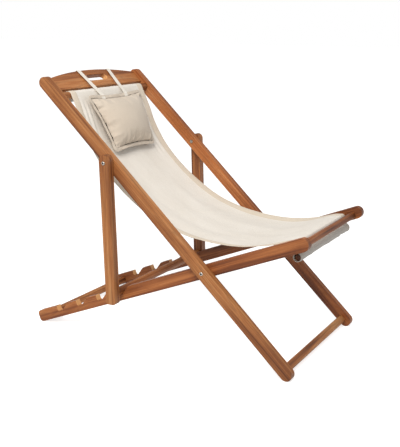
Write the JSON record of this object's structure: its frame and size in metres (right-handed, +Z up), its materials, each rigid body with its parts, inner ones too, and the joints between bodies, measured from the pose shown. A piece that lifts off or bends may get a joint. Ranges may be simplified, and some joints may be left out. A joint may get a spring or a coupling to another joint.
{
  "type": "folding deck chair",
  "caption": "Folding wooden deck chair with a notched recline frame, a hanging canvas sling seat and a strapped head cushion.",
  "frame": {"origin": "centre of the footprint, on the floor", "axes": "+Z up, -Y the way the sitter faces, X along the chair's width, with the sitter's left at +X"},
  "size_m": [0.627, 1.0327, 0.8897],
  "materials": {
    "acacia_wood": "oiled, satin",
    "canvas": "matt plain-weave canvas",
    "cushion_cloth": "matt plain-weave cotton",
    "webbing": "matt woven tape",
    "steel": "zinc-plated, satin"
  },
  "bodies": {
    "back_frame": {"back_rail_right": "acacia_wood", "cushion_strap_right": "webbing", "main_pivot_right_bolt": "steel", "main_pivot_right_washer": "steel", "support_pivot_right_washer": "steel", "support_pivot_right_sleeve_nut": "steel", "back_rail_left": "acacia_wood", "cushion_strap_left": "webbing", "main_pivot_left_bolt": "steel", "main_pivot_left_washer": "steel", "support_pivot_left_washer": "steel", "support_pivot_left_sleeve_nut": "steel", "headboard": "acacia_wood", "head_bar": "acacia_wood", "head_hem_dowel": "acacia_wood", "foot_bar": "acacia_wood", "canvas_sling": "canvas", "headrest_cushion": "cushion_cloth"},
    "base_frame": {"base_rail_right": "acacia_wood", "base_rail_left": "acacia_wood", "front_bar": "acacia_wood", "retaining_bar": "acacia_wood", "front_hem_dowel": "acacia_wood", "rear_bar": "acacia_wood", "main_pivot_right_sleeve_nut": "steel", "main_pivot_left_sleeve_nut": "steel"},
    "support_frame": {"support_strut_right": "acacia_wood", "support_strut_left": "acacia_wood", "support_bar": "acacia_wood", "support_pivot_right_bolt": "steel", "support_pivot_left_bolt": "steel"}
  },
  "joints": [
    {"name": "base_fold", "type": "hinge", "parent": "back_frame", "child": "base_frame", "pos_m": [0, -0.17428, 0.29604], "axis": [-1, 0, 0], "range_deg": [0, 108], "deforming": ["canvas_sling"]},
    {"name": "support_fold", "type": "hinge", "parent": "back_frame", "child": "support_frame", "pos_m": [0, 0.17035, 0.61855], "axis": [-1, 0, 0], "range_deg": [0, 37.6]}
  ],
  "couplings": [
    {"joint": "support_fold", "follows": "base_fold", "ratio": 0.348}
  ]
}
